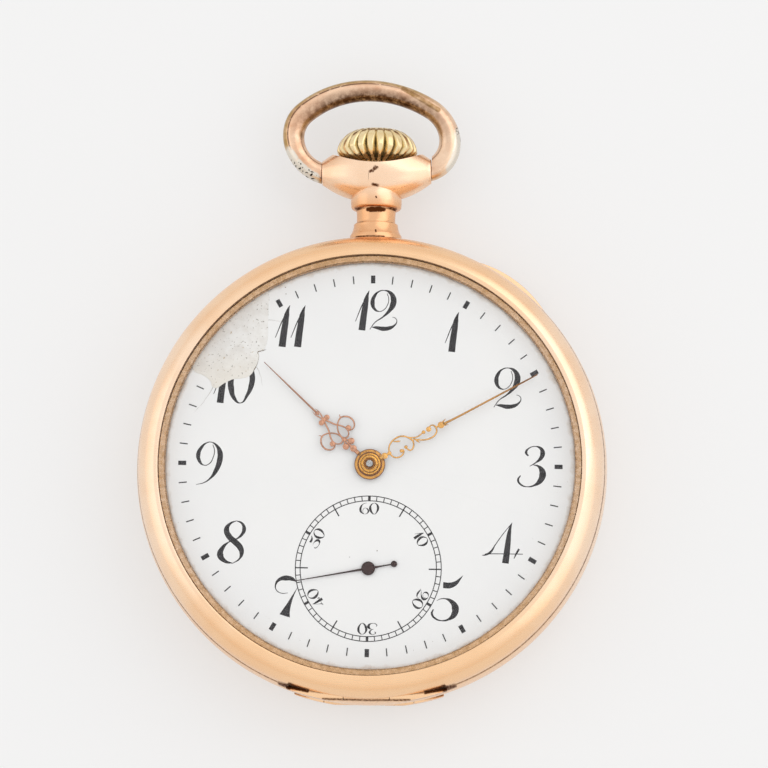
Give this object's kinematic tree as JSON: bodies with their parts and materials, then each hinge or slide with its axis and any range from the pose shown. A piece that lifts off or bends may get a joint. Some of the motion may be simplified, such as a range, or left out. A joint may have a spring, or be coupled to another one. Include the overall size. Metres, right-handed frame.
{
  "type": "open face pocket watch",
  "caption": "Open face pocket watch lying on its back, with hinged bezel and back covers, a swinging bow, a winding crown and a geared movement under an enamel dial.",
  "frame": {"origin": "middle of the flat of the back cover that the watch rests on, on the axis of the dial", "axes": "+Z out of the dial, +Y towards twelve o'clock and the crown, +X towards three o'clock"},
  "size_m": [0.0506, 0.0681, 0.0124],
  "materials": {
    "rolled_gold": "polished rolled gold, rose tone",
    "gilt_inner_cover": "polished gilt",
    "pendant_gilt": "polished rolled gold, rose tone",
    "crown_gilt": "worn gilt",
    "worn_silvered_bow": "silvered, worn and pitted",
    "hinge_steel": "darkened steel",
    "watch_glass": "clear ground glass",
    "dial_enamel": "glossy white fired enamel",
    "rose_gilt_hand": "rose gilt, satin",
    "yellow_gilt_hand": "yellow gilt, polished",
    "blued_hand": "dark blued steel",
    "nickel_plate": "nickel finish with engraved waves",
    "train_brass": "gilt brass, satin",
    "train_steel": "ground steel",
    "blued_steel": "blued steel",
    "balance_gilt": "polished gilt brass",
    "ruby": "clear red ruby"
  },
  "bodies": {
    "case": {"case_band": "rolled_gold", "pendant": "pendant_gilt", "bezel_hinge_pin": "hinge_steel", "cover_hinge_pin": "hinge_steel", "case_screws": "blued_steel", "dial": "dial_enamel", "main_plate": "nickel_plate", "barrel_bridge": "nickel_plate", "train_bridge": "nickel_plate", "balance_cock": "nickel_plate", "pallet_cock": "nickel_plate", "jewels": "ruby", "bridge_screws": "blued_steel", "crown_wheel_screw": "train_steel", "click_spring": "train_steel", "yoke_spring": "train_steel", "hairspring": "blued_steel"},
    "bezel_ring": {"bezel": "rolled_gold", "crystal": "watch_glass"},
    "back": {"back_cover": "rolled_gold"},
    "inner_back": {"dust_cover": "gilt_inner_cover"},
    "bow_ring": {"bow": "worn_silvered_bow"},
    "winding": {"winding_pinion": "train_steel"},
    "crown_and_stem": {"crown": "crown_gilt", "winding_stem": "train_steel"},
    "clutch": {"clutch_wheel": "train_steel"},
    "crown_wheel_body": {"crown_wheel": "train_steel"},
    "ratchet": {"ratchet_wheel": "train_steel", "ratchet_screw": "train_steel", "barrel_arbor": "train_steel", "mainspring": "train_steel"},
    "barrel": {"barrel_drum": "train_brass", "barrel_lid": "train_brass"},
    "centre": {"centre_wheel": "train_brass", "centre_pinion": "train_steel"},
    "third": {"third_wheel": "train_brass", "third_pinion": "train_steel"},
    "fourth": {"fourth_wheel": "train_brass", "fourth_pinion": "train_steel", "seconds_hand": "blued_hand"},
    "escape": {"escape_wheel": "train_steel", "escape_pinion": "train_steel"},
    "pallets": {"pallet_fork": "train_steel"},
    "balance": {"balance_wheel": "balance_gilt", "balance_staff": "train_steel"},
    "minute": {"minute_hand": "yellow_gilt_hand", "cannon_pinion": "train_steel"},
    "minute_work": {"minute_wheel": "train_brass"},
    "hour": {"hour_wheel": "train_brass", "hour_hand": "rose_gilt_hand"},
    "setting": {"setting_wheel": "train_steel"},
    "lever": {"setting_lever": "train_steel"},
    "yoke_lever": {"yoke": "train_steel"},
    "click_lever": {"click": "train_steel"},
    "regulator_index": {"regulator": "train_steel"}
  },
  "joints": [
    {"name": "bezel_open", "type": "hinge", "parent": "case", "child": "bezel_ring", "pos_m": [0, -0.0243, 0.0081], "axis": [1, 0, 0], "range_deg": [0, 80]},
    {"name": "back_cover_open", "type": "hinge", "parent": "case", "child": "back", "pos_m": [0, -0.0243, 0.00215], "axis": [-1, 0, 0], "range_deg": [0, 110]},
    {"name": "dust_cover_open", "type": "hinge", "parent": "case", "child": "inner_back", "pos_m": [0, -0.0243, 0.00215], "axis": [-1, 0, 0], "range_deg": [0, 66]},
    {"name": "bow_swing", "type": "hinge", "parent": "case", "child": "bow_ring", "pos_m": [0, 0.0327, 0.00505], "axis": [1, 0, 0], "range_deg": [-100, 100]},
    {"name": "crown_turn", "type": "hinge", "parent": "case", "child": "winding", "pos_m": [0, 0.0136, 0.00505], "axis": [0, 1, 0], "continuous": true},
    {"name": "crown_pull", "type": "slide", "parent": "winding", "child": "crown_and_stem", "axis": [0, 1, 0], "range_m": [0, 0.001]},
    {"name": "clutch_shift", "type": "slide", "parent": "winding", "child": "clutch", "axis": [0, -1, 0], "range_m": [0, 0.0008]},
    {"name": "crown_wheel_turn", "type": "hinge", "parent": "case", "child": "crown_wheel_body", "pos_m": [0, 0.0093, 0.002], "axis": [0, 0, 1], "continuous": true},
    {"name": "ratchet_turn", "type": "hinge", "parent": "case", "child": "ratchet", "pos_m": [0.0096, 0.003, 0.002], "axis": [0, 0, 1], "continuous": true},
    {"name": "seconds_run", "type": "hinge", "parent": "case", "child": "fourth", "pos_m": [0, -0.01105, 0.005], "axis": [0, 0, 1], "continuous": true},
    {"name": "third_run", "type": "hinge", "parent": "case", "child": "third", "pos_m": [-0.0039, -0.0066, 0.0046], "axis": [0, 0, 1], "continuous": true},
    {"name": "centre_run", "type": "hinge", "parent": "case", "child": "centre", "pos_m": [0, 0, 0.0034], "axis": [0, 0, 1], "continuous": true},
    {"name": "barrel_run", "type": "hinge", "parent": "case", "child": "barrel", "pos_m": [0.0096, 0.003, 0.0045], "axis": [0, 0, 1], "continuous": true},
    {"name": "escape_run", "type": "hinge", "parent": "case", "child": "escape", "pos_m": [-0.0054, -0.0123, 0.0053], "axis": [0, 0, 1], "continuous": true},
    {"name": "pallet_rock", "type": "hinge", "parent": "case", "child": "pallets", "pos_m": [-0.0089, -0.01057, 0.0053], "axis": [0, 0, 1], "range_deg": [-4, 4]},
    {"name": "balance_swing", "type": "hinge", "parent": "case", "child": "balance", "pos_m": [-0.0118, -0.0074, 0.0041], "axis": [0, 0, 1], "range_deg": [-150, 150], "stiffness_Nm_per_rad": 0.0000016},
    {"name": "minute_turn", "type": "hinge", "parent": "case", "child": "minute", "pos_m": [0, 0, 0.009], "axis": [0, 0, 1], "continuous": true},
    {"name": "minute_wheel_turn", "type": "hinge", "parent": "case", "child": "minute_work", "pos_m": [0, 0.0042, 0.0075], "axis": [0, 0, 1], "continuous": true},
    {"name": "hour_turn", "type": "hinge", "parent": "case", "child": "hour", "pos_m": [0, 0, 0.0086], "axis": [0, 0, 1], "continuous": true},
    {"name": "setting_wheel_turn", "type": "hinge", "parent": "case", "child": "setting", "pos_m": [0, 0.00903, 0.0075], "axis": [0, 0, 1], "continuous": true},
    {"name": "lever_turn", "type": "hinge", "parent": "case", "child": "lever", "pos_m": [0.00275, 0.015, 0.0075], "axis": [0, 0, 1], "range_deg": [-25, 25]},
    {"name": "yoke_turn", "type": "hinge", "parent": "case", "child": "yoke_lever", "pos_m": [-0.0062, 0.0129, 0.005], "axis": [0, 0, 1], "range_deg": [-12, 12]},
    {"name": "click_lift", "type": "hinge", "parent": "case", "child": "click_lever", "pos_m": [0.0129, 0.0124, 0.0018], "axis": [0, 0, 1], "range_deg": [0, 10]},
    {"name": "regulator_turn", "type": "hinge", "parent": "case", "child": "regulator_index", "pos_m": [-0.0118, -0.0074, 0.0019], "axis": [0, 0, 1], "range_deg": [-20, 20]}
  ],
  "couplings": [
    {"joint": "dust_cover_open", "follows": "back_cover_open", "ratio": 0.6},
    {"joint": "clutch_shift", "follows": "crown_pull", "ratio": 0.8},
    {"joint": "lever_turn", "follows": "crown_pull", "rad_per_m": -364},
    {"joint": "yoke_turn", "follows": "crown_pull", "rad_per_m": -168},
    {"joint": "crown_wheel_turn", "follows": "crown_turn", "ratio": 0.46429},
    {"joint": "ratchet_turn", "follows": "crown_turn", "ratio": -0.30952},
    {"joint": "third_run", "follows": "seconds_run", "ratio": -0.13333},
    {"joint": "centre_run", "follows": "seconds_run", "ratio": 0.016667},
    {"joint": "barrel_run", "follows": "seconds_run", "ratio": -0.0027778},
    {"joint": "escape_run", "follows": "seconds_run", "ratio": -10},
    {"joint": "minute_wheel_turn", "follows": "minute_turn", "ratio": -0.33333},
    {"joint": "hour_turn", "follows": "minute_turn", "ratio": 0.083333},
    {"joint": "setting_wheel_turn", "follows": "minute_turn", "ratio": 0.625}
  ]
}
